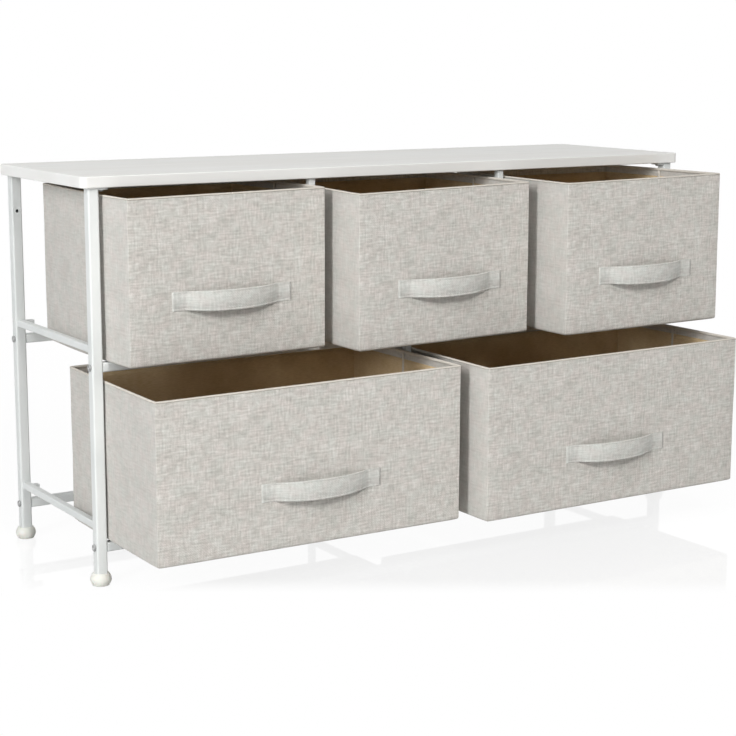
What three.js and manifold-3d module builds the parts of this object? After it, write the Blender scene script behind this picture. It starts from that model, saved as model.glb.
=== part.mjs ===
// Wide dresser with a square-tube frame, a board top and five fabric drawers.
// Millimetres, +Z up, drawers open towards -Y. Three small drawers run above two large ones.
// The origin is on the floor, under the middle of the box round the part as it stands here.

import * as THREE from "three";
import { mergeVertices } from "three/addons/utils/BufferGeometryUtils.js";
import Module from "manifold-3d";

const wasm = await Module();
wasm.setup();

// Overall sizes
const overallWidth = 1000;
const overallDepth = 290;
const overallHeight = 540;

// Clearances
const seatGap = 0.2;
const slideGap = 0.3;
const boreClearance = 0.3;
const cutOverrun = 5;

// Top panel
const panelThickness = 15;
const panelCornerRadius = 8;
const panelEdgeRadius = 1.2;
const panelOverhangSide = 10;
const panelOverhangFront = 4;

// Tubes
const legTube = 15;
const legWall = 1.2;
const legEdgeRadius = 2.4;
const postTube = 10;
const postWall = 1;
const postEdgeRadius = 1.6;
const railHeight = 12.5;
const railEndPlate = 4;

// Heights of the rails
const lowRailBottom = 45;
const midRailBottom = 286;
const sideRailRise = 12;
const lowSideRailRise = 17;

// Feet
const footHeight = 16;
const footSoleRadius = 12.5;
const footBulgeRadius = 15.3;
const footBulgeHeight = 7.5;
const footNeckRadius = 9.5;
const footStemLength = 12;

// Bolts that hold the cross rails to the legs
const boltRadius = 3;
const boltHeadRadius = 4.6;
const boltHeadHeight = 2.2;
const boltReachIntoRail = 11;
const socketRadius = 2;
const socketDepth = 1.3;

// Tabs under the top panel and the screws through them
const tabReach = 12;
const tabThickness = 2.5;
const screwRadius = 2;
const screwHeadRadius = 3.8;
const screwHeadHeight = 2.2;
const screwReachIntoPanel = 9;

// Holes in the rear legs for a strap to the wall
const strapHoleRadius = 2.5;
const strapHoleBelowPanel = 50.5;

// Stops that keep the drawers from leaving at the back
const stopReach = 14;
const stopHeight = 9;
const stopThickness = 1.5;
const stopFlange = 7;
const stopAboveRail = 10.5;

// Drawers
const drawerSideClearance = 6;
const smallHeadroom = 8.5;
const largeHeadroom = 10.5;
const drawerWall = 4;
const drawerFloor = 3;
const drawerCornerRadius = 5;
const drawerBottomRadius = 4.5;
const boardThickness = 3;
const boardClearance = 1.5;

// Handles
const handleLength = 180;
const handleEnd = 20;
const handleWidth = 25;
const handleStandoff = 15;
const handleFullness = 2.6;
const handleSoftness = 1.3;
const handleThickness = 2.4;
const smallHandleHeight = 81.5;
const largeHandleHeight = 79;

// How far each drawer stands open, and its sideways play in its bay
const smallLeftOpen = 53.5;
const smallMiddleOpen = 96.5;
const smallRightOpen = 142.5;
const largeLeftOpen = 147.5;
const largeRightOpen = 183.5;
const smallLeftPlay = 4;
const smallMiddlePlay = -2;
const smallRightPlay = -2;
const largeLeftPlay = -3;
const largeRightPlay = -3;

// How far to the right of its drawer's middle each handle is sewn on
const smallLeftShift = 2.5;
const smallMiddleShift = 6;
const smallRightShift = 1.5;
const largeLeftShift = 8.5;
const largeRightShift = -2;

// Smoothness of round shapes, in segments
const cornerSegments = 3;
const drawerCornerSegments = 3;
const bevelSegments = 2;
const roundSegments = 16;
const holeSegments = 12;
const hexSides = 6;
const archSegments = 16;
const straightSegments = 1;

// The drawers of each tier, from left to right
const smallDrawers = [
  { name: "small_left", bay: 0, open: smallLeftOpen, play: smallLeftPlay, shift: smallLeftShift },
  { name: "small_middle", bay: 1, open: smallMiddleOpen, play: smallMiddlePlay, shift: smallMiddleShift },
  { name: "small_right", bay: 2, open: smallRightOpen, play: smallRightPlay, shift: smallRightShift },
];
const largeDrawers = [
  { name: "large_left", bay: 0, open: largeLeftOpen, play: largeLeftPlay, shift: largeLeftShift },
  { name: "large_right", bay: 1, open: largeRightOpen, play: largeRightPlay, shift: largeRightShift },
];

// Places worked out from the sizes
const frameWidth = overallWidth - 2 * panelOverhangSide;
const frameDepth = overallDepth - 2 * panelOverhangFront;
const frameFront = -frameDepth / 2;
const frameRear = frameDepth / 2;
const innerWidth = frameWidth - 2 * legTube;
const innerDepth = frameDepth - 2 * legTube;
const legX = (frameWidth - legTube) / 2;
const legY = (frameDepth - legTube) / 2;
const panelUnderside = overallHeight - panelThickness;
const legBottom = footHeight + seatGap;
const legTop = panelUnderside - seatGap;
const lowRailTop = lowRailBottom + railHeight;
const midRailTop = midRailBottom + railHeight;
const lowRailZ = lowRailBottom + railHeight / 2;
const midRailZ = midRailBottom + railHeight / 2;
const midSideRailZ = midRailTop + sideRailRise + postTube / 2;
const lowSideRailZ = lowRailTop + lowSideRailRise + postTube / 2;
const stopFace = frameRear - postTube - seatGap - stopThickness;
const drawerDepth = stopFace - slideGap - frameFront;
const boltHoleRadius = boltRadius + boreClearance;
const legBore = legTube - 2 * legWall;

// Bays between the legs and the divider posts
const smallBayCount = smallDrawers.length;
const largeBayCount = largeDrawers.length;
const smallBay = (innerWidth - (smallBayCount - 1) * postTube) / smallBayCount;
const largeBay = (innerWidth - (largeBayCount - 1) * postTube) / largeBayCount;

const materials = {
  panel: { color: 0xe9e8e4, roughness: 0.5, metalness: 0 },
  frame: { color: 0xeceae6, roughness: 0.45, metalness: 0 },
  foot: { color: 0xdfded4, roughness: 0.6, metalness: 0 },
  bolt: { color: 0x4a4a4a, roughness: 0.4, metalness: 0.8 },
  fabric: { color: 0xc9c4ba, roughness: 0.95, metalness: 0 },
  strap: { color: 0xd0ccc3, roughness: 0.95, metalness: 0 },
  board: { color: 0x8a6a45, roughness: 0.9, metalness: 0 },
};

// A closed solid for cutting and joining
function solidOf(geometry) {
  const bare = geometry.clone();
  bare.deleteAttribute("normal");
  bare.deleteAttribute("uv");
  const merged = mergeVertices(bare);
  const mesh = new wasm.Mesh({
    numProp: 3,
    vertProperties: new Float32Array(merged.attributes.position.array),
    triVerts: new Uint32Array(merged.index.array),
  });
  return new wasm.Manifold(mesh);
}

function geometryOf(solid) {
  const mesh = solid.getMesh();
  const geometry = new THREE.BufferGeometry();
  geometry.setAttribute("position", new THREE.BufferAttribute(mesh.vertProperties, mesh.numProp));
  geometry.setIndex(new THREE.BufferAttribute(mesh.triVerts, 1));
  const flat = geometry.toNonIndexed();
  flat.computeVertexNormals();
  return flat;
}

function roundedRectangle(width, depth, radius) {
  const x = width / 2;
  const y = depth / 2;
  const shape = new THREE.Shape();
  shape.moveTo(-x + radius, -y);
  shape.lineTo(x - radius, -y);
  shape.absarc(x - radius, -y + radius, radius, -Math.PI / 2, 0);
  shape.lineTo(x, y - radius);
  shape.absarc(x - radius, y - radius, radius, 0, Math.PI / 2);
  shape.lineTo(-x + radius, y);
  shape.absarc(-x + radius, y - radius, radius, Math.PI / 2, Math.PI);
  shape.lineTo(-x, -y + radius);
  shape.absarc(-x + radius, -y + radius, radius, Math.PI, 1.5 * Math.PI);
  return shape;
}

// A straight prism along +Z, centred on the origin
function prism(shape, length, segments) {
  const geometry = new THREE.ExtrudeGeometry(shape, {
    depth: length,
    bevelEnabled: false,
    curveSegments: segments,
  });
  geometry.translate(0, 0, -length / 2);
  return geometry;
}

function squareTube(size, wall, edgeRadius, length) {
  const shape = roundedRectangle(size, size, edgeRadius);
  shape.holes.push(roundedRectangle(size - 2 * wall, size - 2 * wall, edgeRadius - wall));
  return prism(shape, length, cornerSegments);
}

function alongX(geometry) {
  return geometry.rotateY(Math.PI / 2);
}

function alongY(geometry) {
  return geometry.rotateX(Math.PI / 2);
}

function round(radius, length, sides) {
  return new THREE.CylinderGeometry(radius, radius, length, sides);
}

// A round bar along X, for holes and shanks
function roundAlongX(radius, length, sides) {
  return round(radius, length, sides).rotateZ(Math.PI / 2);
}

function roundAlongZ(radius, length, sides) {
  return round(radius, length, sides).rotateX(Math.PI / 2);
}

// A turned piece, its axis along +Z
function turned(points, segments) {
  return new THREE.LatheGeometry(points, segments).rotateX(Math.PI / 2);
}

function mesh(name, geometry, finish) {
  const piece = new THREE.Mesh(geometry, new THREE.MeshStandardMaterial(materials[finish]));
  piece.name = name;
  return piece;
}

function placed(piece, x, y, z) {
  piece.position.set(x, y, z);
  return piece;
}

function sideSign(side) {
  return side === "left" ? -1 : 1;
}

function endSign(end) {
  return end === "front" ? -1 : 1;
}

// The panel screws stand in the middle of each leg's tab
function screwPlace(side, end) {
  const inward = legTube / 2 + tabReach / 2;
  return { x: sideSign(side) * (legX - inward), y: endSign(end) * legY };
}

function topPanel() {
  const shape = roundedRectangle(overallWidth, overallDepth, panelCornerRadius);
  const board = new THREE.ExtrudeGeometry(shape, {
    depth: panelThickness - 2 * panelEdgeRadius,
    bevelThickness: panelEdgeRadius,
    bevelSize: panelEdgeRadius,
    bevelOffset: -panelEdgeRadius,
    bevelSegments: bevelSegments,
    curveSegments: drawerCornerSegments,
  });
  board.translate(0, 0, panelEdgeRadius);
  let solid = solidOf(board);
  for (const side of ["left", "right"]) {
    for (const end of ["front", "rear"]) {
      const at = screwPlace(side, end);
      const depth = screwReachIntoPanel + boreClearance;
      const pilot = roundAlongZ(screwRadius + boreClearance, depth + cutOverrun, holeSegments);
      pilot.translate(at.x, at.y, (depth - cutOverrun) / 2);
      solid = solid.subtract(solidOf(pilot));
    }
  }
  return placed(mesh("top_panel", geometryOf(solid), "panel"), 0, 0, panelUnderside);
}

function leg(side, end) {
  const length = legTop - legBottom;
  const inward = -sideSign(side);
  let solid = solidOf(squareTube(legTube, legWall, legEdgeRadius, length));
  const tabWidth = tabReach + legWall;
  const tab = new THREE.BoxGeometry(tabWidth, legTube, tabThickness);
  tab.translate(inward * (legTube / 2 + tabReach - tabWidth / 2), 0, (length - tabThickness) / 2);
  solid = solid.add(solidOf(tab));
  const screwHole = roundAlongZ(screwRadius + boreClearance, tabThickness + 2 * cutOverrun, holeSegments);
  screwHole.translate(inward * (legTube / 2 + tabReach / 2), 0, (length - tabThickness) / 2);
  solid = solid.subtract(solidOf(screwHole));
  const middle = (legTop + legBottom) / 2;
  for (const z of [lowRailZ, midRailZ]) {
    const hole = roundAlongX(boltHoleRadius, legTube + 2 * cutOverrun, holeSegments);
    hole.translate(0, 0, z - middle);
    solid = solid.subtract(solidOf(hole));
  }
  if (end === "rear") {
    const strapHole = round(strapHoleRadius, legTube + 2 * cutOverrun, holeSegments);
    strapHole.translate(0, 0, panelUnderside - strapHoleBelowPanel - middle);
    solid = solid.subtract(solidOf(strapHole));
  }
  const piece = mesh(`leg_${end}_${side}`, geometryOf(solid), "frame");
  return placed(piece, sideSign(side) * legX, endSign(end) * legY, middle);
}

function foot(side, end) {
  const stemRadius = legBore / 2 - boreClearance;
  const profile = new THREE.Path();
  profile.moveTo(0, 0);
  profile.lineTo(footSoleRadius, 0);
  profile.quadraticCurveTo(footBulgeRadius, 0, footBulgeRadius, footBulgeHeight);
  profile.quadraticCurveTo(footBulgeRadius, (footBulgeHeight + footHeight) / 2, footNeckRadius, footHeight);
  profile.lineTo(stemRadius, footHeight);
  profile.lineTo(stemRadius, footHeight + footStemLength);
  profile.lineTo(0, footHeight + footStemLength);
  const piece = mesh(`foot_${end}_${side}`, turned(profile.getPoints(bevelSegments), roundSegments), "foot");
  return placed(piece, sideSign(side) * legX, endSign(end) * legY, 0);
}

// A cross rail is a tube closed by a plate at each end, with a hole for its bolt
function crossRail(level, end) {
  const length = innerWidth - 2 * seatGap;
  const outer = alongX(prism(roundedRectangle(railHeight, legTube, legEdgeRadius), length, cornerSegments));
  const boreShape = roundedRectangle(railHeight - 2 * legWall, legBore, legEdgeRadius - legWall);
  const bore = alongX(prism(boreShape, length - 2 * railEndPlate, cornerSegments));
  const hole = roundAlongX(boltHoleRadius, length + 2 * cutOverrun, holeSegments);
  const solid = solidOf(outer).subtract(solidOf(bore)).subtract(solidOf(hole));
  const piece = mesh(`cross_rail_${level}_${end}`, geometryOf(solid), "frame");
  return placed(piece, 0, endSign(end) * legY, level === "low" ? lowRailZ : midRailZ);
}

function sideRail(level, side) {
  const tube = squareTube(postTube, postWall, postEdgeRadius, innerDepth - 2 * seatGap);
  const piece = mesh(`side_rail_${level}_${side}`, alongY(tube), "frame");
  return placed(piece, sideSign(side) * legX, 0, level === "low" ? lowSideRailZ : midSideRailZ);
}

// An upright between two bays, flush with the front or rear face of the frame
function dividerPost(name, x, end, bottom, top) {
  const length = top - bottom - 2 * seatGap;
  const piece = mesh(name, squareTube(postTube, postWall, postEdgeRadius, length), "frame");
  return placed(piece, x, endSign(end) * (frameDepth - postTube) / 2, (top + bottom) / 2);
}

function dividerBar(name, x, z) {
  const length = frameDepth - 2 * postTube - 2 * seatGap;
  const piece = mesh(name, alongY(squareTube(postTube, postWall, postEdgeRadius, length)), "frame");
  return placed(piece, x, 0, z);
}

// A bolt runs along X from its socket head outside the leg into the end of a cross rail
function railBolt(level, side, end) {
  const shankLength = seatGap + legTube + seatGap + boltReachIntoRail;
  const profile = new THREE.Path();
  profile.moveTo(0, -shankLength);
  profile.lineTo(boltRadius, -shankLength);
  profile.lineTo(boltRadius, 0);
  profile.lineTo(boltHeadRadius, 0);
  profile.lineTo(boltHeadRadius, boltHeadHeight / 2);
  profile.quadraticCurveTo(boltHeadRadius, boltHeadHeight, boltHeadRadius / 2, boltHeadHeight);
  profile.lineTo(0, boltHeadHeight);
  const body = solidOf(turned(profile.getPoints(bevelSegments), roundSegments));
  const socket = roundAlongZ(socketRadius, socketDepth + cutOverrun, hexSides);
  socket.translate(0, 0, boltHeadHeight + (cutOverrun - socketDepth) / 2);
  const geometry = geometryOf(body.subtract(solidOf(socket)));
  geometry.rotateY(sideSign(side) * Math.PI / 2);
  const piece = mesh(`bolt_${level}_${end}_${side}`, geometry, "bolt");
  const x = sideSign(side) * (frameWidth / 2 + seatGap);
  return placed(piece, x, endSign(end) * legY, level === "low" ? lowRailZ : midRailZ);
}

function panelScrew(side, end) {
  const shankLength = seatGap + tabThickness + seatGap + screwReachIntoPanel;
  const profile = new THREE.Path();
  profile.moveTo(0, -screwHeadHeight);
  profile.lineTo(screwHeadRadius / 2, -screwHeadHeight);
  profile.quadraticCurveTo(screwHeadRadius, -screwHeadHeight, screwHeadRadius, 0);
  profile.lineTo(screwRadius, 0);
  profile.lineTo(screwRadius, shankLength - screwRadius);
  profile.lineTo(0, shankLength);
  const geometry = turned(profile.getPoints(bevelSegments), holeSegments);
  const at = screwPlace(side, end);
  const piece = mesh(`panel_screw_${end}_${side}`, geometry, "bolt");
  return placed(piece, at.x, at.y, legTop - tabThickness - seatGap);
}

// An angle that a closed drawer meets: an upright plate with a flange to the rear
function stopAngle(width) {
  const shape = new THREE.Shape();
  shape.moveTo(0, 0);
  shape.lineTo(stopThickness, 0);
  shape.lineTo(stopThickness, stopHeight - stopThickness);
  shape.lineTo(stopThickness + stopFlange, stopHeight - stopThickness);
  shape.lineTo(stopThickness + stopFlange, stopHeight);
  shape.lineTo(0, stopHeight);
  return prism(shape, width, straightSegments).rotateX(Math.PI / 2).rotateZ(Math.PI / 2);
}

function legStop(level, side) {
  const bottom = (level === "low" ? lowRailTop : midRailTop) + stopAboveRail;
  const x = sideSign(side) * (innerWidth / 2 - seatGap - stopReach / 2);
  return placed(mesh(`rear_stop_${level}_${side}`, stopAngle(stopReach), "frame"), x, stopFace, bottom);
}

// A flat strip across a rear divider post, under its bar, stops the drawers on both sides of it
function postStop(name, x, barZ) {
  const strip = new THREE.BoxGeometry(postTube + 2 * stopReach, stopThickness, stopHeight);
  const z = barZ - postTube / 2 - seatGap - stopHeight / 2;
  return placed(mesh(name, strip, "frame"), x, stopFace + stopThickness / 2, z);
}

// The fabric bin of a drawer: rounded upright edges and bottom edge, open at the top
function drawerShell(name, width, height) {
  const shape = roundedRectangle(width, drawerDepth, drawerCornerRadius);
  const outer = new THREE.ExtrudeGeometry(shape, {
    depth: height,
    bevelThickness: drawerBottomRadius,
    bevelSize: drawerBottomRadius,
    bevelOffset: -drawerBottomRadius,
    bevelSegments: bevelSegments,
    curveSegments: drawerCornerSegments,
  });
  outer.translate(0, 0, drawerBottomRadius);
  const topCut = new THREE.BoxGeometry(width + 2 * cutOverrun, drawerDepth + 2 * cutOverrun, height);
  topCut.translate(0, 0, height + height / 2);
  const innerWide = width - 2 * drawerWall;
  const innerDeep = drawerDepth - 2 * drawerWall;
  const innerShape = roundedRectangle(innerWide, innerDeep, drawerCornerRadius - drawerWall);
  const inner = prism(innerShape, height, drawerCornerSegments);
  inner.translate(0, 0, height / 2 + drawerFloor);
  const solid = solidOf(outer).subtract(solidOf(topCut)).subtract(solidOf(inner));
  return placed(mesh(`drawer_${name}_shell`, geometryOf(solid), "fabric"), 0, drawerDepth / 2, 0);
}

function baseBoard(name, width) {
  const edge = drawerWall + boardClearance;
  const corner = Math.max(drawerCornerRadius - edge, boardClearance);
  const shape = roundedRectangle(width - 2 * edge, drawerDepth - 2 * edge, corner);
  const board = prism(shape, boardThickness, drawerCornerSegments);
  const piece = mesh(`drawer_${name}_base_board`, board, "board");
  return placed(piece, 0, drawerDepth / 2, drawerFloor + seatGap + boardThickness / 2);
}

// A strap sewn down at both ends, its middle arched away from the drawer front
function handle(name, shift, height) {
  const half = handleLength / 2;
  const archHalf = half - handleEnd;
  const rise = (x) => handleStandoff * (1 - (Math.abs(x) / archHalf) ** handleFullness) ** handleSoftness;
  const outer = [];
  const inner = [];
  for (let i = 0; i <= archSegments; i += 1) {
    const x = archHalf * ((2 * i) / archSegments - 1);
    outer.push(new THREE.Vector2(x, rise(x) + handleThickness));
    inner.push(new THREE.Vector2(x, rise(x)));
  }
  const start = [new THREE.Vector2(-half, 0), new THREE.Vector2(-half, handleThickness)];
  const finish = [new THREE.Vector2(half, handleThickness), new THREE.Vector2(half, 0)];
  const outline = new THREE.Shape([...start, ...outer, ...finish, ...inner.reverse()]);
  const strap = prism(outline, handleWidth, straightSegments).rotateX(Math.PI);
  return placed(mesh(`drawer_${name}_handle`, strap, "strap"), shift, -slideGap, height);
}

function drawer(place, bay, bayCount, headroom, railTop, ceiling, handleHeight) {
  const width = bay - 2 * drawerSideClearance;
  const height = ceiling - railTop - slideGap - headroom;
  const group = new THREE.Group();
  const bayX = (place.bay - (bayCount - 1) / 2) * (bay + postTube);
  group.position.set(bayX + place.play, frameFront - place.open, railTop + slideGap);
  group.add(drawerShell(place.name, width, height));
  group.add(baseBoard(place.name, width));
  group.add(handle(place.name, place.shift, handleHeight));
  return group;
}

function frame() {
  const group = new THREE.Group();
  group.add(topPanel());
  for (const side of ["left", "right"]) {
    for (const end of ["front", "rear"]) {
      group.add(leg(side, end));
      group.add(foot(side, end));
      group.add(panelScrew(side, end));
      group.add(railBolt("low", side, end));
      group.add(railBolt("mid", side, end));
    }
    for (const level of ["low", "mid"]) {
      group.add(sideRail(level, side));
      group.add(legStop(level, side));
    }
    const x = sideSign(side) * (smallBay + postTube) / 2;
    group.add(dividerPost(`divider_post_${side}_front`, x, "front", midRailTop, panelUnderside));
    group.add(dividerPost(`divider_post_${side}_rear`, x, "rear", midRailTop, panelUnderside));
    group.add(dividerBar(`divider_bar_${side}`, x, midSideRailZ));
    group.add(postStop(`rear_stop_divider_${side}`, x, midSideRailZ));
  }
  for (const end of ["front", "rear"]) {
    group.add(crossRail("low", end));
    group.add(crossRail("mid", end));
    group.add(dividerPost(`centre_post_${end}`, 0, end, lowRailTop, midRailBottom));
  }
  group.add(dividerBar("centre_bar", 0, lowSideRailZ));
  group.add(postStop("rear_stop_centre", 0, lowSideRailZ));
  return group;
}

const dresser = new THREE.Group();
dresser.add(frame());
for (const place of smallDrawers) {
  dresser.add(
    drawer(place, smallBay, smallBayCount, smallHeadroom, midRailTop, panelUnderside, smallHandleHeight),
  );
}
for (const place of largeDrawers) {
  dresser.add(
    drawer(place, largeBay, largeBayCount, largeHeadroom, lowRailTop, midRailBottom, largeHandleHeight),
  );
}

// The box round the part runs from the furthest handle to the panel or feet at the rear
const furthestOpen = Math.max(...[...smallDrawers, ...largeDrawers].map((place) => place.open));
const handleProud = slideGap + handleStandoff + handleThickness;
const boxFront = frameFront - furthestOpen - handleProud;
const boxRear = Math.max(overallDepth / 2, legY + footBulgeRadius);
dresser.position.y = -(boxFront + boxRear) / 2;

export default dresser;
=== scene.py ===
import math

import bpy
from mathutils import Matrix, Vector, noise


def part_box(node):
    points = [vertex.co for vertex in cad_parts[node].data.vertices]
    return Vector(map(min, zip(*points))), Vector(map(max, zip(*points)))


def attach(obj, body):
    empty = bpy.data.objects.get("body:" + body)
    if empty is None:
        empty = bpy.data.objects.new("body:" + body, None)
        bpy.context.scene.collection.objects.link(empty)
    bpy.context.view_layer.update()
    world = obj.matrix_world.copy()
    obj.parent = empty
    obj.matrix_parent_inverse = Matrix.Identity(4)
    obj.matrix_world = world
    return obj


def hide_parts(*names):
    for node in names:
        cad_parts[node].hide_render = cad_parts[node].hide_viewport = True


# The looks of a wide fabric drawer dresser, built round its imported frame.
# Metres, +Z up, drawers open towards -Y.
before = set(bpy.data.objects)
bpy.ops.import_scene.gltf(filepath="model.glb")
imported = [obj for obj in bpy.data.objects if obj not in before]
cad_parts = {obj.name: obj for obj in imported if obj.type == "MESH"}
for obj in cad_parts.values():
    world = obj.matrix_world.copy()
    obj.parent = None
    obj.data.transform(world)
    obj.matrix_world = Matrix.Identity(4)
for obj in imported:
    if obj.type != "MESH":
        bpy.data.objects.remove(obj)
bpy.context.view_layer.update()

MM = 0.001

# The camera, solved from the straight edges of the dresser in the photograph
IMAGE_PIXELS = 736
FOCAL_PIXELS = 1750.15
CENTRE_PIXEL_X = 368.93
CENTRE_PIXEL_Y = 361.09
CAMERA_PLACE = Vector((-1377.42, -2110.36, 704.57)) * MM
CAMERA_YAW = math.radians(32.37)
CAMERA_PITCH = math.radians(10.24)
CAMERA_ROLL = math.radians(0.14)
SENSOR_WIDTH = 36.0

# Lights and floor
ROOM_LIGHT = 0.12
LIGHT_AIM = Vector((-100, 0, 300)) * MM
LAMP_DISTANCE = 4500 * MM
LAMPS = {
    "front_light": {
        "azimuth": -6, "elevation": 39, "width": 1000 * MM, "height": 1000 * MM,
        "strength": 0.425, "colour": (1.0, 0.985, 0.955),
    },
    "side_light": {
        "azimuth": -64, "elevation": 23, "width": 800 * MM, "height": 3000 * MM,
        "strength": 0.745, "colour": (0.985, 0.995, 1.0),
    },
    "top_light": {
        "azimuth": -25, "elevation": 64, "width": 1400 * MM, "height": 1400 * MM,
        "strength": 0.13, "colour": (1.0, 1.0, 1.0),
    },
    "rear_light": {
        "azimuth": 128, "elevation": 8, "width": 1800 * MM, "height": 1800 * MM,
        "strength": 0.5, "colour": (1.0, 1.0, 1.0), "mirrored": False,
    },
}
FLOOR_RADIUS = 14000 * MM
FLOOR_SIDES = 64
FLOOR_FADE_START = -255 * MM
FLOOR_FADE_END = -330 * MM
FLOOR_FAR_START = 900 * MM
FLOOR_FAR_END = 2200 * MM
FLOOR_SHADE_ALBEDO = 0.06
FLOOR_GLOW = 0.95
FLOOR_BOUNCE_ALBEDO = 0.75
FLOOR_MIRROR_SHARE = 0.115
FLOOR_MIRROR_ROUGHNESS = 0.02

# Fabric bins
BIN_CORNER = 1.2 * MM
CORNER_EASE = 0.8 * MM
CORNER_EASE_REACH = 16 * MM
BIN_BOTTOM_ROUND = 4 * MM
BIN_WALL = 4 * MM
BIN_FLOOR = 3 * MM
BIN_CAP_INSET = 14 * MM
BIN_STEP = 8 * MM
BIN_SKIN_INSET = 0.3 * MM
LEAST_CORNER = 0.4 * MM
WAVE_HEIGHT = 0.48 * MM
WAVE_LENGTH = 62 * MM
RIPPLE_HEIGHT = 0.16 * MM
RIPPLE_LENGTH = 17 * MM
NOISE_STEP = 10.0

# Lining boards, rim tape and fold tapes of a bin
LINING_DROP = 12 * MM
LINING_GAP = 0.25 * MM
LINING_THICKNESS = 1.1 * MM
TAPE_THICKNESS = 0.4 * MM
TAPE_OUTER_DROP = 0.9 * MM
TAPE_INNER_DROP = 3.5 * MM
TAPE_SINK = 0.1 * MM
FOLD_TAPE_WIDTH = 5 * MM
FOLD_TAPE_THICKNESS = 0.6 * MM
BOARD_EDGE_GAP = 1.6 * MM
BOARD_LIFT = 0.2 * MM
BOARD_THICKNESS = 3 * MM
BOARD_EDGE_ROUND = 0.5 * MM

# Strap handles
STRAP_LENGTH = 180 * MM
STRAP_END = 20 * MM
STRAP_WIDTH = 25 * MM
STRAP_STANDOFF = 12 * MM
STRAP_THICKNESS = 2.4 * MM
STRAP_END_THICKNESS = 0.8 * MM
STRAP_SINK = 0.35 * MM
STRAP_FULLNESS = 2.6
STRAP_SOFTNESS = 1.3
STRAP_SAG = 1.7 * MM
STRAP_SWELL = 1.3 * MM
STRAP_HEM = 3 * MM
STRAP_GROOVE = 0.08 * MM
STRAP_STEPS = 56
STRAP_EDGE_STEPS = 5
STRAP_SLOPE_STEP = STRAP_LENGTH / STRAP_STEPS / 4
STRAP_THICKENING = 3.0

# Thread
STITCH_LENGTH = 2.7 * MM
STITCH_PITCH = 4.0 * MM
STITCH_RADIUS = 0.2 * MM
STITCH_MARGIN = 2.6 * MM
STITCH_SIDES = 4
STITCH_SHOULDER_SHARE = 0.55
RIM_STITCH_PITCH = 5.0 * MM
RIM_STITCH_DROP = 2.6 * MM

# Feet and bolts
FOOT_SEGMENTS = 64
FOOT_SLIMNESS = 0.93
FOOT_END_SHARE = 0.78
FOOT_STEPS = 20
BOLT_SEGMENTS = 48
BOLT_SHANK = 3 * MM
BOLT_HEAD_HEIGHT = 2.2 * MM
BOLT_EDGE_ROUND = 0.6 * MM
BOLT_SOCKET_ACROSS = 1.7 * MM
BOLT_SOCKET_DEPTH = 1.3 * MM
BOLT_SOCKET_RIM_SHARE = 1.25
BOLT_SHANK_END_SHARE = 0.5

# Smoothness of round shapes, in segments
CORNER_STEPS = 8
ROUND_STEPS = 5

# Cloth: its threads and twill lines in metres, its slubs to the metre, and how much each adds to its tone
THREAD_PITCH = 3.4 * MM
THREAD_SWAY = 9.0
TWILL_PITCH = 0.7 * MM
TWILL_CONTRAST = 0.12
SLUBS_ALONG = 58.0
SLUBS_ACROSS = 370.0
WEFT_SHARE = 0.42
WARP_SHARE = 0.38
FLECK_SHARE = 0.20
MIDDLE_TONE = 0.5
PATCH_CONTRAST = 0.2
WEAVE_CONTRAST = 0.03
WEAVE_RELIEF = 0.35
THREAD_RELIEF = 1.4
LINEN_CONTRAST = 1.42
STRAP_CONTRAST = 1.2
SIDE_CONTRAST_SHARE = 0.5
TAPE_SLUBS_ALONG = 120.0
TAPE_SLUBS_ACROSS = 700.0

# Other patterns that are drawn out one way, in marks to the metre: fibres of the lining boards, grain and
# clouds of the top's film, and turning marks of the screws
FIBRES_ALONG = 130.0
FIBRES_ACROSS = 620.0
GRAIN_ALONG = 7.0
GRAIN_ACROSS = 210.0
CLOUDS_ALONG = 2.0
CLOUDS_ACROSS = 9.0
MARKS_ALONG = 300.0
MARKS_ACROSS = 2600.0

# Colours of 0 to 255 as they show on a screen, each group in the order of the pattern that it follows.
# Tints, rubs, clouds and dust multiply the tones before them
LINEN_TONES = ((150, 147, 141), (196, 193, 188), (231, 229, 226))
STRAP_TONES = ((161, 160, 156), (198, 198, 194), (229, 229, 227))
LINEN_TINTS = ((255, 249, 248), (248, 252, 250))
KRAFT_TONES = ((198, 176, 140), (218, 198, 164))
KRAFT_RUBS = ((235, 228, 220), (255, 252, 248))
FIBREBOARD_TONES = ((188, 166, 132), (210, 190, 156))
FIBREBOARD_CLOUDS = ((232, 226, 218), (255, 255, 255))
TAPE_TONES = ((193, 187, 178), (216, 211, 202))
THREAD_TONES = ((192, 190, 184), (212, 210, 204))
COAT_TONES = ((213, 216, 215), (220, 222, 221))
COAT_DUST = ((255, 255, 255), (240, 239, 236))
FILM_TONES = ((220, 220, 217), (227, 227, 225))
FILM_CLOUDS = ((252, 251, 250), (255, 255, 255))
# Painted light: the edge bands are lighter than the top film, standing in for the edges catching more
# light than the top.
LIT_EDGE_BAND_TONE = (234, 234, 232)
IVORY_TONE = (219, 219, 212)
# The feet turn darker in noisy patches within this height of the sole.
SOLE_TONE = (165, 162, 153)
SOLE_BAND_HEIGHT = 3 * MM
ZINC_TONES = ((160, 161, 162), (188, 188, 187))
WHITE = (1.0, 1.0, 1.0, 1.0)

# Sockets of Blender's mix node when it mixes colours
MIX_FACTOR, MIX_FIRST, MIX_SECOND = 0, 6, 7
MIX_RESULT = 2

# How each bin hangs, in millimetres: its front corners forward or back, its rim up or down at them,
# its left wall bowed outwards, its right wall tucked in at the front, and its bottom raised at the back
LEAN_KEYS = ("left", "right", "rim_left", "rim_right", "bow", "tuck", "lift")
LEANS = {
    "small_left": (-8.3, 6.0, -1.4, 0.9, 5.6, 0.0, 0.0),
    "small_middle": (-10.3, 8.5, -5.4, -1.7, 0.5, 0.0, 0.0),
    "small_right": (-3.9, 3.9, -1.3, 1.9, 0.5, 2.6, 0.0),
    "large_left": (1.7, -3.5, -4.0, -0.2, 0.8, -1.0, 3.0),
    "large_right": (-1.0, -1.0, -1.8, 0.6, 0.8, 0.3, 1.5),
}


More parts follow.
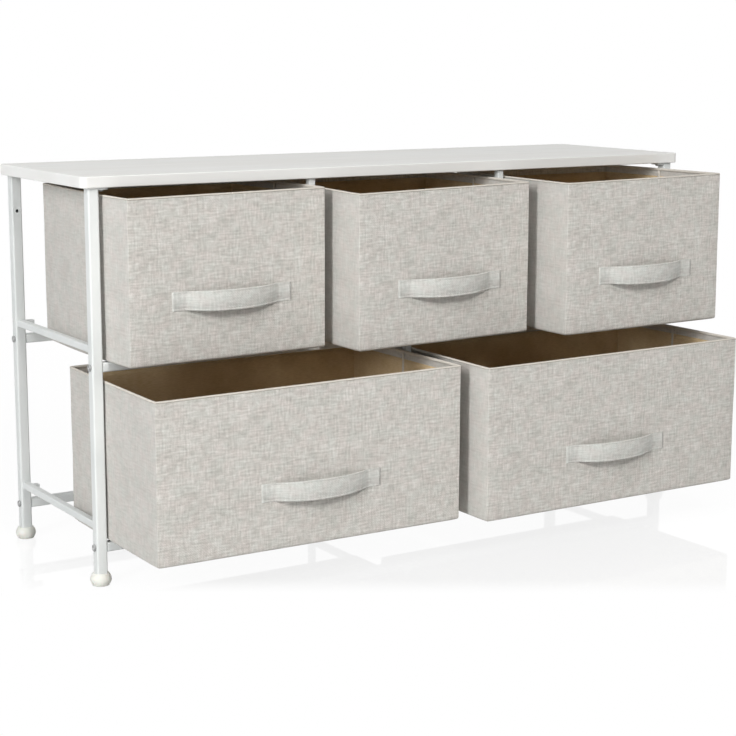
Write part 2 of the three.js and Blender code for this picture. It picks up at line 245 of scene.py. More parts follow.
def srgb(red, green, blue):
    """A colour of 0 to 255 as it shows on a screen, in linear values by the sRGB curve."""
    def linear(value):
        share = value / 255
        return share / 12.92 if share <= 0.04045 else ((share + 0.055) / 1.055) ** 2.4
    return (linear(red), linear(green), linear(blue), 1.0)


def grey(value):
    return (value, value, value, 1.0)


def spaced(values):
    """Socket names from keywords: Base_Color stands for Base Color."""
    return {key.replace("_", " "): value for key, value in values.items()}


class Look:
    """A node material. A value that is a socket is linked, and any other is set on the node."""

    def __init__(self, name, **shader):
        self.material = bpy.data.materials.new(name)
        self.material.use_nodes = True
        self.tree = self.material.node_tree
        self.shader = self.tree.nodes["Principled BSDF"]
        self.fill(self.shader, spaced(shader))

    def fill(self, node, inputs):
        for key, value in inputs.items():
            if isinstance(value, bpy.types.NodeSocket):
                self.tree.links.new(value, node.inputs[key])
            else:
                node.inputs[key].default_value = value

    def add(self, kind, inputs=None, **settings):
        node = self.tree.nodes.new("ShaderNode" + kind)
        for key, value in settings.items():
            setattr(node, key, value)
        self.fill(node, inputs or {})
        return node

    def place(self, output):
        return self.add("TexCoord").outputs[output]

    def facing(self, kind):
        return self.add("NewGeometry").outputs[kind]

    def parts(self, vector):
        return self.add("SeparateXYZ", {"Vector": vector}).outputs

    def stretched(self, vector, x, y, z=1.0):
        return self.add("Mapping", {"Vector": vector, "Scale": (x, y, z)}).outputs["Vector"]

    def drawn(self, vector, along, across):
        """Draws a pattern out along X, with the same scale both ways across."""
        return self.stretched(vector, along, across, across)

    def noise(self, vector, scale=1.0, detail=2.0, roughness=0.5):
        inputs = {"Vector": vector, "Scale": scale, "Detail": detail, "Roughness": roughness}
        return self.add("TexNoise", inputs).outputs["Fac"]

    def math(self, operation, first, second=0.0):
        return self.add("Math", {0: first, 1: second}, operation=operation).outputs["Value"]

    def scaled(self, value, factor):
        return self.math("MULTIPLY", value, factor)

    def total(self, first, *others):
        for other in others:
            first = self.math("ADD", first, other)
        return first

    def remap(self, value, interpolation="LINEAR", **limits):
        """Takes a value from one range to another. A limit that isn't given stays at 0 or 1."""
        inputs = {"Value": value, **spaced(limits)}
        return self.add("MapRange", inputs, interpolation_type=interpolation).outputs["Result"]

    def ramp(self, factor, tones, at):
        """Runs through the tones, which are colours as they show on a screen, one at each place."""
        node = self.add("ValToRGB", {"Fac": factor})
        ends = node.color_ramp.elements
        for index, (place, tone) in enumerate(zip(at, tones)):
            element = ends[index] if index < len(ends) else ends.new(place)
            element.position = place
            element.color = srgb(*tone)
        return node.outputs["Color"]

    def mix(self, factor, first, second, blend="MIX"):
        node = self.add("Mix", data_type="RGBA", blend_type=blend)
        self.fill(node, {MIX_FACTOR: factor, MIX_FIRST: first, MIX_SECOND: second})
        return node.outputs[MIX_RESULT]

    def tinted(self, colour, tint, share):
        """Multiplies a colour by a tint, as far as the share says."""
        return self.mix(share, colour, tint, "MULTIPLY")

    def bump(self, height, strength, distance):
        inputs = {"Height": height, "Strength": strength, "Distance": distance}
        return self.add("Bump", inputs).outputs["Normal"]

    def finish(self, **shader):
        self.fill(self.shader, spaced(shader))
        return self.material


def linen(name, tones, contrast):
    """Coarse linen: slubby threads both ways over a plain weave. The UV map is in metres."""
    look = Look(name, Roughness=0.96, Specular_IOR_Level=0.2, Sheen_Weight=0.1, Sheen_Roughness=0.6)
    uv = look.place("UV")
    weft = look.noise(look.stretched(uv, SLUBS_ALONG, SLUBS_ACROSS), detail=2.0)
    warp = look.noise(look.stretched(uv, SLUBS_ACROSS, SLUBS_ALONG), detail=2.0)
    fleck = look.noise(uv, scale=340.0, detail=2.0)
    patch = look.noise(uv, scale=30.0, detail=3.0)
    sway = look.scaled(look.noise(uv, scale=60.0, detail=2.0), THREAD_SWAY)
    parts = look.parts(uv)
    turn = 2 * math.pi / THREAD_PITCH
    across = look.math("SINE", look.total(look.scaled(parts["X"], turn), sway))
    along = look.math("SINE", look.total(look.scaled(parts["Y"], turn), sway))
    weave = look.math("MULTIPLY", across, along)
    slubs = (look.scaled(weft, WEFT_SHARE), look.scaled(warp, WARP_SHARE), look.scaled(fleck, FLECK_SHARE))
    threads = look.total(*slubs)
    sideways = look.math("ABSOLUTE", look.parts(look.facing("Normal"))["X"])
    side_contrast = contrast * SIDE_CONTRAST_SHARE
    strength = look.remap(sideways, From_Min=0.4, From_Max=0.9, To_Min=contrast, To_Max=side_contrast)
    tone = look.math("MULTIPLY", look.math("SUBTRACT", threads, MIDDLE_TONE), strength)
    patches = look.scaled(look.math("SUBTRACT", patch, MIDDLE_TONE), PATCH_CONTRAST)
    tone = look.total(tone, MIDDLE_TONE, patches, look.scaled(weave, WEAVE_CONTRAST))
    colour = look.ramp(tone, tones, at=(0.1, 0.5, 0.9))
    tint = look.ramp(look.noise(uv, scale=55.0, detail=3.0), LINEN_TINTS, at=(0.35, 0.65))
    colour = look.tinted(colour, tint, share=0.6)
    relief = look.total(look.scaled(weave, WEAVE_RELIEF), look.scaled(threads, THREAD_RELIEF))
    return look.finish(Base_Color=colour, Normal=look.bump(relief, strength=0.4, distance=0.35 * MM))


def kraft_lining():
    """Plain brown board with short fibres and faint rubbed marks."""
    look = Look("kraft_lining", Roughness=0.9, Specular_IOR_Level=0.15)
    uv = look.place("UV")
    fibre = look.noise(look.stretched(uv, FIBRES_ALONG, FIBRES_ACROSS), detail=4.0, roughness=0.65)
    cloud = look.noise(uv, scale=18.0, detail=3.0)
    colour = look.ramp(fibre, KRAFT_TONES, at=(0.3, 0.7))
    colour = look.tinted(colour, look.ramp(cloud, KRAFT_RUBS, at=(0.4, 0.65)), share=0.8)
    return look.finish(Base_Color=colour, Normal=look.bump(fibre, strength=0.25, distance=0.2 * MM))


def floor_board():
    """Thin fibreboard with pressed specks."""
    look = Look("fibreboard", Roughness=0.82, Specular_IOR_Level=0.25)
    where = look.place("Object")
    speck = look.noise(where, scale=650.0, detail=4.0, roughness=0.7)
    cloud = look.noise(where, scale=22.0, detail=3.0)
    colour = look.ramp(speck, FIBREBOARD_TONES, at=(0.3, 0.72))
    colour = look.tinted(colour, look.ramp(cloud, FIBREBOARD_CLOUDS, at=(0.4, 0.6)), share=0.5)
    return look.finish(Base_Color=colour, Normal=look.bump(speck, strength=0.2, distance=0.15 * MM))


def twill_tape():
    """Cream cotton tape with slanting twill lines."""
    look = Look("twill_tape", Roughness=0.9, Specular_IOR_Level=0.2, Sheen_Weight=0.1)
    uv = look.place("UV")
    parts = look.parts(uv)
    slant = look.total(parts["X"], parts["Y"])
    twill = look.math("SINE", look.scaled(slant, 2 * math.pi / TWILL_PITCH))
    slub = look.noise(look.stretched(uv, TAPE_SLUBS_ALONG, TAPE_SLUBS_ACROSS), detail=3.0)
    height = look.total(look.scaled(twill, TWILL_CONTRAST), slub)
    colour = look.ramp(height, TAPE_TONES, at=(0.25, 0.75))
    return look.finish(Base_Color=colour, Normal=look.bump(height, strength=0.3, distance=0.2 * MM))


def sewing_thread():
    """Twisted thread, a little lighter and darker along its turns."""
    look = Look("sewing_thread", Roughness=0.7, Specular_IOR_Level=0.3, Sheen_Weight=0.1)
    twist = look.noise(look.place("Object"), scale=1500.0, detail=2.0)
    colour = look.ramp(twist, THREAD_TONES, at=(0.3, 0.7))
    return look.finish(Base_Color=colour, Normal=look.bump(twist, strength=0.3, distance=0.1 * MM))


def powder_coat():
    """White powder coat: orange peel, a faint uneven gloss and a few dust specks."""
    look = Look("powder_coat", Specular_IOR_Level=0.35)
    where = look.place("Object")
    peel = look.noise(where, scale=520.0, detail=2.0)
    cloud = look.noise(where, scale=13.0, detail=3.0)
    speck = look.noise(where, scale=300.0, detail=1.0)
    colour = look.ramp(cloud, COAT_TONES, at=(0.35, 0.65))
    colour = look.tinted(colour, look.ramp(speck, COAT_DUST, at=(0.74, 0.86)), share=1.0)
    rough = look.remap(cloud, To_Min=0.5, To_Max=0.62)
    normal = look.bump(peel, strength=0.12, distance=0.15 * MM)
    return look.finish(Base_Color=colour, Roughness=rough, Normal=normal)


def white_laminate():
    """White melamine on board: a film with a pressed grain along its length, and edge bands painted
    lighter than the top film, as painted light for the edges catching more light.
    """
    look = Look("white_laminate", Specular_IOR_Level=0.4)
    where = look.place("Object")
    grain = look.noise(look.drawn(where, GRAIN_ALONG, GRAIN_ACROSS), detail=5.0, roughness=0.62)
    cloud = look.noise(look.drawn(where, CLOUDS_ALONG, CLOUDS_ACROSS), detail=2.0)
    film = look.ramp(grain, FILM_TONES, at=(0.32, 0.6))
    # Painted light: faces that don't face up take the lighter edge tone, standing in for the stronger
    # light on the edges.
    upright = look.math("ABSOLUTE", look.parts(look.facing("True Normal"))["Z"])
    lit_edge_band = look.remap(upright, From_Min=0.75, From_Max=0.55)
    colour = look.mix(lit_edge_band, film, srgb(*LIT_EDGE_BAND_TONE))
    colour = look.tinted(colour, look.ramp(cloud, FILM_CLOUDS, at=(0.4, 0.62)), share=0.8)
    rough = look.remap(grain, To_Min=0.5, To_Max=0.38)
    normal = look.bump(grain, strength=0.15, distance=0.12 * MM)
    return look.finish(Base_Color=colour, Roughness=rough, Normal=normal)


def ivory_plastic():
    """Moulded ivory plastic with fine texture, darker in noisy patches towards the sole."""
    look = Look("ivory_plastic", Specular_IOR_Level=0.4, Subsurface_Weight=0.05, Subsurface_Scale=2 * MM)
    where = look.place("Object")
    grit = look.noise(where, scale=900.0, detail=2.0)
    # Darker in noisy patches within a few millimetres of the sole.
    above_sole = look.remap(look.parts(where)["Z"], From_Max=SOLE_BAND_HEIGHT, To_Min=0.55, To_Max=1.0)
    sole_patches = look.noise(where, scale=160.0, detail=3.0)
    sole_darkening = look.math("MULTIPLY", look.math("SUBTRACT", 1.0, above_sole), sole_patches)
    colour = look.mix(sole_darkening, srgb(*IVORY_TONE), srgb(*SOLE_TONE))
    normal = look.bump(grit, strength=0.15, distance=0.08 * MM)
    return look.finish(Base_Color=colour, Roughness=0.5, Normal=normal)


def bright_zinc():
    """Bright zinc plating with uneven tone and brushed turning marks."""
    look = Look("bright_zinc", Metallic=0.6)
    where = look.place("Object")
    cloud = look.noise(where, scale=260.0, detail=3.0)
    marks = look.noise(look.drawn(where, MARKS_ALONG, MARKS_ACROSS), detail=2.0)
    colour = look.ramp(cloud, ZINC_TONES, at=(0.3, 0.7))
    rough = look.remap(marks, To_Min=0.3, To_Max=0.5)
    normal = look.bump(marks, strength=0.2, distance=0.05 * MM)
    return look.finish(Base_Color=colour, Roughness=rough, Normal=normal)


LINEN = linen("linen", LINEN_TONES, LINEN_CONTRAST)
STRAP_LINEN = linen("strap_linen", STRAP_TONES, STRAP_CONTRAST)
LINING = kraft_lining()
FIBREBOARD = floor_board()
TAPE = twill_tape()
THREAD = sewing_thread()
COATED = powder_coat()
LAMINATE = white_laminate()
IVORY = ivory_plastic()
ZINC = bright_zinc()


def mesh_piece(name, vertices, faces, uvs, material, body, stands_for=()):
    """Makes one piece of the object: uvs holds a pair for each corner of each face."""
    mesh = bpy.data.meshes.new(name)
    mesh.from_pydata([tuple(v) for v in vertices], [], faces)
    if uvs:
        layer = mesh.uv_layers.new(name="UVMap")
        layer.data.foreach_set("uv", [value for face in uvs for pair in face for value in pair])
    mesh.materials.append(material)
    mesh.polygons.foreach_set("use_smooth", [True] * len(mesh.polygons))
    mesh.update()
    piece = bpy.data.objects.new(name, mesh)
    bpy.context.scene.collection.objects.link(piece)
    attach(piece, body)
    if stands_for:
        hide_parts(*stands_for)
    return piece


class Surface:
    """Collects the vertices, faces and UVs of one mesh."""

    def __init__(self):
        self.vertices = []
        self.faces = []
        self.uvs = []

    def rows(self, rows, u_values, v_values, close_rows=False):
        """Joins rows of points, each row a closed ring, into quads."""
        start = len(self.vertices)
        count = len(rows[0])
        for row in rows:
            self.vertices.extend(row)
        last = len(rows) if close_rows else len(rows) - 1
        for j in range(last):
            upper = (j + 1) % len(rows)
            for i in range(count):
                after = (i + 1) % count
                self.faces.append((
                    start + j * count + i, start + j * count + after,
                    start + upper * count + after, start + upper * count + i,
                ))
                u0, u1, v0, v1 = u_values[i], u_values[i + 1], v_values[j], v_values[j + 1]
                self.uvs.append(((u0, v0), (u1, v0), (u1, v1), (u0, v1)))
        return start

    def cap(self, first, count, upwards):
        """Closes a flat ring with one face."""
        ring = list(range(first, first + count))
        if not upwards:
            ring.reverse()
        self.faces.append(tuple(ring))
        self.uvs.append([(self.vertices[k][0], self.vertices[k][1]) for k in ring])

    def piece(self, name, material, body, slot, stands_for=()):
        return mesh_piece(name, self.vertices, self.faces, self.uvs, material, body, stands_for)


class Bin:
    """The place of one drawer's fabric bin, and how its cloth lies."""

    def __init__(self, name, index):
        self.name = name
        self.body = "drawer_" + name
        self.low, self.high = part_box(f"drawer_{name}_shell")
        self.centre = (self.low + self.high) / 2
        self.half_x = (self.high.x - self.low.x) / 2
        self.half_y = (self.high.y - self.low.y) / 2
        self.height = self.high.z - self.low.z
        self.steps_x = max(2, round(2 * self.half_x / BIN_STEP))
        self.steps_y = max(2, round(2 * self.half_y / BIN_STEP))
        self.shift = Vector((NOISE_STEP * index, 2 * NOISE_STEP * index, 0))
        self.lean = dict(zip(LEAN_KEYS, LEANS[name]))

    def ring(self, inset):
        """Points and outward directions round the bin, anticlockwise from its rear left corner."""
        radius = max(BIN_CORNER - inset, LEAST_CORNER)
        reach_x = self.half_x - inset - radius - CORNER_EASE
        reach_y = self.half_y - inset - radius - CORNER_EASE
        corners = (
            (-reach_x, reach_y, 0.5 * math.pi, self.steps_y),
            (-reach_x, -reach_y, math.pi, self.steps_x),
            (reach_x, -reach_y, 1.5 * math.pi, self.steps_y),
            (reach_x, reach_y, 2 * math.pi, self.steps_x),
        )
        points = []
        for index, (x, y, angle, steps) in enumerate(corners):
            for k in range(CORNER_STEPS + 1):
                turn = angle + 0.5 * math.pi * k / CORNER_STEPS
                away = (math.cos(turn), math.sin(turn))
                points.append((x + radius * away[0], y + radius * away[1], *away))
            next_x, next_y = corners[(index + 1) % len(corners)][:2]
            begin = Vector(points[-1][:2])
            finish = Vector((next_x + radius * away[0], next_y + radius * away[1]))
            side = (finish - begin).length
            for k in range(1, steps):
                at = begin.lerp(finish, k / steps)
                near = min(k, steps - k) / steps * side
                ease = CORNER_EASE * (1 - max(0.0, 1 - near / CORNER_EASE_REACH) ** 2)
                points.append((at.x + away[0] * ease, at.y + away[1] * ease, *away))
        return points

    def lengths(self):
        """How far round the bin each point of a ring is, for the UV map."""
        ring = self.ring(0.0)
        total, values = 0.0, [0.0]
        for i, point in enumerate(ring):
            after = ring[(i + 1) % len(ring)]
            total += math.hypot(after[0] - point[0], after[1] - point[1])
            values.append(total)
        return values

    def leaned(self, x, y, z):
        """Takes a point of the straight bin, measured from its centre and bottom, to where it hangs."""
        share_x = x / self.half_x
        share_y = (self.half_y - y) / (2 * self.half_y)
        share_z = max(0.0, z) / self.height
        leftness, rightness = (1 - share_x) / 2, (1 + share_x) / 2
        rim = self.lean["rim_left"] * leftness + self.lean["rim_right"] * rightness
        push = self.lean["left"] * leftness + self.lean["right"] * rightness
        x -= self.lean["bow"] * MM * leftness * math.sin(math.pi * min(1.0, max(0.0, share_y)))
        x -= self.lean["tuck"] * MM * rightness * share_y * (1 + share_z) / 2
        y += push * MM * share_y
        z += rim * MM * share_z * share_y + self.lean["lift"] * MM * (1 - share_z) * (1 - share_y)
        return Vector((self.centre.x + x, self.centre.y + y, self.low.z + z))

    def relief(self, x, y, z):
        """How far the cloth stands out from its mean surface."""
        at = Vector((x, y, z))
        wave = WAVE_HEIGHT * noise.noise(at / WAVE_LENGTH + self.shift)
        ripple = RIPPLE_HEIGHT * noise.noise(at / RIPPLE_LENGTH + self.shift)
        fade = min(1.0, max(0.0, (z - BIN_BOTTOM_ROUND) / (2 * BIN_BOTTOM_ROUND)))
        return (wave + ripple) * fade

    def row(self, inset, z):
        """A ring of points at one height."""
        made = []
        for x, y, away_x, away_y in self.ring(inset):
            out = self.relief(x, y, z)
            made.append(self.leaned(x + away_x * out, y + away_y * out, z))
        return made

    def swept(self, profile, closed):
        """Carries a profile of (inset, height) pairs round the bin."""
        surface = Surface()
        run = [0.0]
        pairs = profile + profile[:1] if closed else profile
        for a, b in zip(pairs, pairs[1:]):
            run.append(run[-1] + math.hypot(b[0] - a[0], b[1] - a[1]))
        rows = [self.row(inset, z) for inset, z in profile]
        surface.rows(rows, self.lengths(), run, close_rows=closed)
        return surface


def rim_path(height, offset, outer_drop, inner_drop):
    """From outside the wall, over the rim and down inside, as (inset, height) pairs."""
    half = (BIN_WALL - BIN_SKIN_INSET) / 2
    middle = BIN_SKIN_INSET + half
    path = [(BIN_SKIN_INSET - offset, height - outer_drop)]
    for k in range(2 * ROUND_STEPS + 1):
        turn = math.pi * k / (2 * ROUND_STEPS)
        reach = half + offset
        path.append((middle - reach * math.cos(turn), height - half + reach * math.sin(turn)))
    path.append((BIN_WALL + offset, height - inner_drop))
    return path


def bin_cover(bin_):
    """The linen cover: bottom, walls, the turned rim, the inside and its floor, as one closed skin."""
    height = bin_.height - TAPE_THICKNESS
    skin = BIN_SKIN_INSET
    profile = [(skin + BIN_BOTTOM_ROUND + BIN_CAP_INSET, 0.0)]
    for k in range(ROUND_STEPS + 1):
        turn = 0.5 * math.pi * k / ROUND_STEPS
        inset = skin + BIN_BOTTOM_ROUND * (1 - math.sin(turn))
        profile.append((inset, BIN_BOTTOM_ROUND * (1 - math.cos(turn))))
    rim = rim_path(height, 0.0, 2 * BIN_WALL, 2 * BIN_WALL)
    steps = round((rim[0][1] - BIN_BOTTOM_ROUND) / BIN_STEP)
    for k in range(1, steps):
        profile.append((skin, BIN_BOTTOM_ROUND + (rim[0][1] - BIN_BOTTOM_ROUND) * k / steps))
    profile.extend(rim)
    for k in range(1, steps + 1):
        profile.append((BIN_WALL, rim[-1][1] + (BIN_FLOOR - rim[-1][1]) * k / steps))
    profile.append((BIN_WALL + BIN_CAP_INSET, BIN_FLOOR))
    surface = bin_.swept(profile, closed=False)
    count = len(bin_.ring(0.0))
    surface.cap(0, count, upwards=False)
    surface.cap(count * (len(profile) - 1), count, upwards=True)
    name = f"drawer_{bin_.name}_cover"
    return surface.piece(name, LINEN, bin_.body, "fabric", [f"drawer_{bin_.name}_shell"])


def bin_lining(bin_):
    """Brown boards against the inner walls, a little below the rim."""
    near = BIN_WALL + LINING_GAP
    far = near + LINING_THICKNESS
    top = bin_.height - LINING_DROP
    bottom = BIN_FLOOR + BOARD_LIFT
    steps = round((top - bottom) / BIN_STEP)
    heights = [bottom + (top - bottom) * k / steps for k in range(steps + 1)]
    profile = [(near, z) for z in heights] + [(far, z) for z in reversed(heights)]
    surface = bin_.swept(profile, closed=True)
    return surface.piece(f"drawer_{bin_.name}_lining", LINING, bin_.body, "board")


def rim_tape(bin_):
    """The light tape that binds the rim."""
    height = bin_.height - TAPE_THICKNESS
    outer = rim_path(height, TAPE_THICKNESS, TAPE_OUTER_DROP, TAPE_INNER_DROP)
    inner = rim_path(height, -TAPE_SINK, TAPE_OUTER_DROP, TAPE_INNER_DROP)
    surface = bin_.swept(outer + inner[::-1], closed=True)
    return surface.piece(f"drawer_{bin_.name}_rim_tape", TAPE, bin_.body, "fabric")


def fold_tapes(bin_):
    """Light tapes up the middle of both side walls, where their boards fold."""
    inset = BIN_WALL + LINING_GAP + LINING_THICKNESS
    top = bin_.height - TAPE_INNER_DROP
    bottom = BIN_FLOOR + BOARD_LIFT + BOARD_THICKNESS
    steps = round((top - bottom) / BIN_STEP)
    half = FOLD_TAPE_WIDTH / 2
    edge = FOLD_TAPE_THICKNESS
    surface = Surface()
    for sign in (-1, 1):
        wall = sign * (bin_.half_x - inset)
        section = ((-half, -TAPE_SINK), (-half + edge, edge), (half - edge, edge), (half, -TAPE_SINK))
        if sign > 0:
            section = section[::-1]
        rows = []
        for k in range(steps + 1):
            z = bottom + (top - bottom) * k / steps
            row = []
            for y, out in section:
                lift = out + sign * bin_.relief(sign * bin_.half_x, y, z)
                row.append(bin_.leaned(wall - sign * lift, y, z))
            rows.append(row)
        run = [half * k for k in range(len(section) + 1)]
        rise = [BIN_STEP * k for k in range(steps + 1)]
        first = surface.rows(rows, run, rise)
        surface.cap(first, len(section), upwards=False)
        surface.cap(first + len(section) * steps, len(section), upwards=True)
    return surface.piece(f"drawer_{bin_.name}_fold_tapes", TAPE, bin_.body, "fabric")


def base_board(bin_):
    """The board on the floor of the bin, its edges slightly rounded."""
    inset = BIN_WALL + LINING_GAP + LINING_THICKNESS + BOARD_EDGE_GAP
    bottom = BIN_FLOOR + BOARD_LIFT
    edge = BOARD_EDGE_ROUND
    profile = [
        (inset + BIN_CAP_INSET, bottom),
        (inset + edge, bottom),
        (inset, bottom + edge),
        (inset, bottom + BOARD_THICKNESS - edge),
        (inset + edge, bottom + BOARD_THICKNESS),
        (inset + BIN_CAP_INSET, bottom + BOARD_THICKNESS),
    ]
    surface = bin_.swept(profile, closed=False)
    count = len(bin_.ring(0.0))
    surface.cap(0, count, upwards=False)
    surface.cap(count * (len(profile) - 1), count, upwards=True)
    name = f"drawer_{bin_.name}_floor_board"
    return surface.piece(name, FIBREBOARD, bin_.body, "board", [f"drawer_{bin_.name}_base_board"])


class Strap:
    """The line of a strap handle on its bin: x along it, y towards the bin, z up."""

    def __init__(self, bin_):
        self.bin = bin_
        low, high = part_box(f"drawer_{bin_.name}_handle")
        self.x = (low.x + high.x) / 2 - bin_.centre.x
        self.z = (low.z + high.z) / 2 - bin_.low.z
        self.front = -bin_.half_y

    def rise(self, x):
        """How far the strap stands off at x: not at all at its sewn ends, and in an arc between them."""
        share = min(1.0, abs(x) / (STRAP_LENGTH / 2 - STRAP_END))
        return STRAP_STANDOFF * (1 - share ** STRAP_FULLNESS) ** STRAP_SOFTNESS

    def thickness(self, x):
        """How thick the strap is at x: pressed flat where it is sewn, and soon full."""
        share = min(1.0, STRAP_THICKENING * self.rise(x) / STRAP_STANDOFF)
        return STRAP_END_THICKNESS + (STRAP_THICKNESS - STRAP_END_THICKNESS) * share

    def point(self, x, across, out):
        """A point at x along the strap, across its width, and out from its back face."""
        step = STRAP_SLOPE_STEP
        slope = (self.rise(x + step) - self.rise(x - step)) / (2 * step)
        length = math.hypot(1, slope)
        sag = STRAP_SAG * self.rise(x) / STRAP_STANDOFF
        lying = 1 - self.rise(x) / STRAP_STANDOFF
        cloth = self.bin.relief(self.x + x, self.front, self.z + across) * lying
        place_x = self.x + x - out * slope / length
        place_y = self.front + STRAP_SINK - cloth - self.rise(x) - out / length
        return self.bin.leaned(place_x, place_y, self.z + across - sag)

    def section(self, x):
        """The strap's outline at x, as (across, out) pairs, with a groove along each hem."""
        thick = self.thickness(x)
        edge = thick / 2
        half = STRAP_WIDTH / 2 + STRAP_SWELL * self.rise(x) / STRAP_STANDOFF
        hem = half - STRAP_HEM
        pairs = []
        for k in range(STRAP_EDGE_STEPS + 1):
            turn = -0.5 * math.pi + math.pi * k / STRAP_EDGE_STEPS
            pairs.append((half - edge + edge * math.cos(turn), edge + edge * math.sin(turn)))
        groove = STRAP_GROOVE
        for side in (1, -1):
            for offset, depth in ((1, 0.0), (0, groove), (-1, 0.0)):
                pairs.append((side * hem + offset * 2 * groove, thick - depth))
        for k in range(STRAP_EDGE_STEPS + 1):
            turn = 0.5 * math.pi + math.pi * k / STRAP_EDGE_STEPS
            pairs.append((-half + edge + edge * math.cos(turn), edge + edge * math.sin(turn)))
        return pairs


def strap_handle(bin_, strap):
    """The strap itself, closed at both ends."""
    surface = Surface()
    stations = [STRAP_LENGTH * (k / STRAP_STEPS - 0.5) for k in range(STRAP_STEPS + 1)]
    rows = [[strap.point(x, across, out) for across, out in strap.section(x)] for x in stations]
    outline = strap.section(0.0)
    run = [0.0]
    for a, b in zip(outline, outline[1:] + outline[:1]):
        run.append(run[-1] + math.hypot(b[0] - a[0], b[1] - a[1]))
    surface.rows(rows, run, stations)
    surface.uvs = [[(v, u) for u, v in face] for face in surface.uvs]
    count = len(outline)
    surface.cap(0, count, upwards=False)
    surface.cap(count * STRAP_STEPS, count, upwards=True)
    name = f"drawer_{bin_.name}_strap"
    return surface.piece(name, STRAP_LINEN, bin_.body, "strap", [f"drawer_{bin_.name}_handle"])


def add_stitch(surface, centre, along, out):
    """One stitch: a short fat grain of thread lying on the cloth."""
    side = along.cross(out)
    half = STITCH_LENGTH / 2
    first = len(surface.vertices)
    surface.vertices.append(centre - along * half)
    for reach in (-STITCH_SHOULDER_SHARE, STITCH_SHOULDER_SHARE):
        for turn in range(STITCH_SIDES):
            angle = 2 * math.pi * turn / STITCH_SIDES
            offset = (side * math.cos(angle) + out * math.sin(angle)) * STITCH_RADIUS
            surface.vertices.append(centre + along * (half * reach) + offset)
    surface.vertices.append(centre + along * half)
    near, far = first + 1, first + 1 + STITCH_SIDES
    for turn in range(STITCH_SIDES):
        after = (turn + 1) % STITCH_SIDES
        surface.faces.append((first, near + turn, near + after))
        surface.faces.append((near + turn, far + turn, far + after, near + after))
        surface.faces.append((far + STITCH_SIDES, far + after, far + turn))


def stitch_line(surface, points, pitch):
    """Stitches along a line of (place, outward direction) pairs."""
    run = 0.0
    for (a, out_a), (b, _) in zip(points, points[1:]):
        length = (b - a).length
        along = (b - a).normalized()
        while run <= length:
            add_stitch(surface, a + along * run, along, out_a)
            run += pitch
        run -= length


def stitches(bin_, strap):
    """The thread on a bin: a box through each end of the strap, its hems, and a line along the rim."""
    surface = Surface()
    half = STRAP_WIDTH / 2 - STITCH_MARGIN
    forward = Vector((0, -1, 0))

    def on_strap(x, across):
        return strap.point(x, across, strap.thickness(x)), forward

    for sign in (-1, 1):
        outer = sign * (STRAP_LENGTH / 2 - STITCH_MARGIN)
        inner = sign * (STRAP_LENGTH / 2 - STRAP_END + STITCH_MARGIN)
        corners = [(outer, -half), (outer, half), (inner, half), (inner, -half), (outer, -half)]
        for a, b in zip(corners, corners[1:]):
            stitch_line(surface, [on_strap(*a), on_strap(*b)], STITCH_PITCH)
    reach = STRAP_LENGTH / 2 - STRAP_END
    for across in (-half, half):
        line = [on_strap(reach * (2 * k / STRAP_STEPS - 1), across) for k in range(STRAP_STEPS + 1)]
        stitch_line(surface, line, STITCH_PITCH)
    z = bin_.height - TAPE_THICKNESS - RIM_STITCH_DROP
    skin = BIN_SKIN_INSET
    places = bin_.row(skin, z)
    aways = [Vector((point[2], point[3], 0)) for point in bin_.ring(skin)]
    rim = list(zip(places, aways))
    stitch_line(surface, rim + rim[:1], RIM_STITCH_PITCH)
    name = f"drawer_{bin_.name}_stitches"
    return mesh_piece(name, surface.vertices, surface.faces, None, THREAD, bin_.body)


def turned(name, centre, axis, profile, segments, material, slot, stands_for, reach=None):
    """A turned piece: profile holds (radius, height) pairs, and reach shapes a ring that isn't round."""
    turn = Vector((0, 0, 1)).rotation_difference(Vector(axis)).to_matrix()
    surface = Surface()
    rows = []
    for index, (radius, height) in enumerate(profile):
        ring = []
        for k in range(segments):
            angle = 2 * math.pi * k / segments
            far = radius if reach is None else reach(index, radius, angle)
            ring.append(centre + turn @ Vector((far * math.cos(angle), far * math.sin(angle), height)))
        rows.append(ring)
    around = [2 * math.pi * profile[1][0] * k / segments for k in range(segments + 1)]
    surface.rows(rows, around, [p[1] for p in profile])
    first = list(range(segments))
    last = [segments * (len(profile) - 1) + k for k in range(segments)]
    surface.faces.extend([tuple(reversed(first)), tuple(last)])
    surface.uvs.extend([[(0.0, 0.0)] * segments] * 2)
    return surface.piece(name, material, "frame", slot, [stands_for])


def foot(end, side):
    """A barrel-shaped glide under a leg."""
    node = f"foot_{end}_{side}"
    low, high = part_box(node)
    leg_low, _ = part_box(f"leg_{end}_{side}")
    centre = Vector(((low.x + high.x) / 2, (low.y + high.y) / 2, low.z))
    bulge = (high.x - low.x) / 2 * FOOT_SLIMNESS
    height = leg_low.z - low.z
    profile = []
    for k in range(FOOT_STEPS + 1):
        share = k / FOOT_STEPS
        radius = bulge * (FOOT_END_SHARE + (1 - FOOT_END_SHARE) * math.sin(math.pi * share))
        profile.append((radius, height * share))
    inner = bulge * FOOT_END_SHARE / 2
    profile = [(inner, 0.0), *profile, (inner, height)]
    return turned(f"glide_{end}_{side}", centre, (0, 0, 1), profile, FOOT_SEGMENTS, IVORY, "foot", node)


